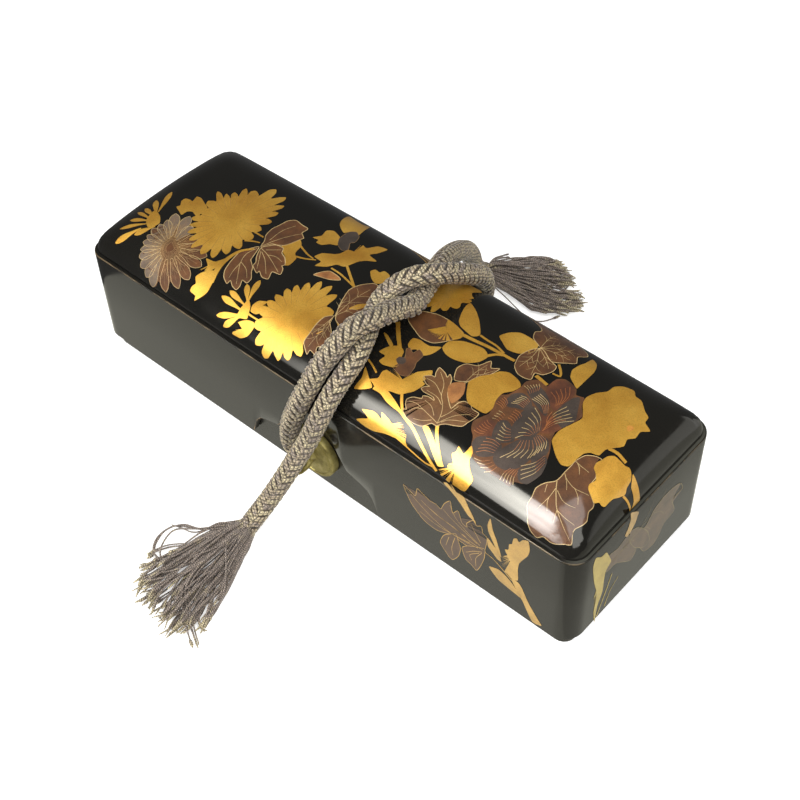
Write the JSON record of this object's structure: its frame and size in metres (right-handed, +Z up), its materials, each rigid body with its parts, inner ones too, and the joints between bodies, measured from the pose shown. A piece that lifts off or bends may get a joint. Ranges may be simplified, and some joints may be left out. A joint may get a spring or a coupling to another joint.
{
  "type": "lacquered letter box",
  "caption": "Long lacquered letter box: a crowned lift-off cover over a plain tray, gold flower painting, and braided tasselled cords tied over it from brass rings.",
  "frame": {"origin": "bottom centre of the box, on the table", "axes": "+X along the box's length, +Y from the front long side to the back one, +Z up"},
  "size_m": [0.25, 0.2559, 0.0883],
  "materials": {
    "lid_lacquer": "polished black lacquer over thin wood",
    "tray_lacquer": "black lacquer over thin wood",
    "aged_brass": "dulled olive brass",
    "braided_silk": "tight braid, grey-beige with gilt threads",
    "tassel_yarn": "loose twisted yarns, mauve-grey"
  },
  "bodies": {
    "root": {"lid": "lid_lacquer", "tray": "tray_lacquer", "front_fitting": "aged_brass", "back_fitting": "aged_brass", "front_cord": "braided_silk", "back_cord": "braided_silk", "front_tassel": "tassel_yarn", "back_tassel": "tassel_yarn"}
  },
  "joints": []
}
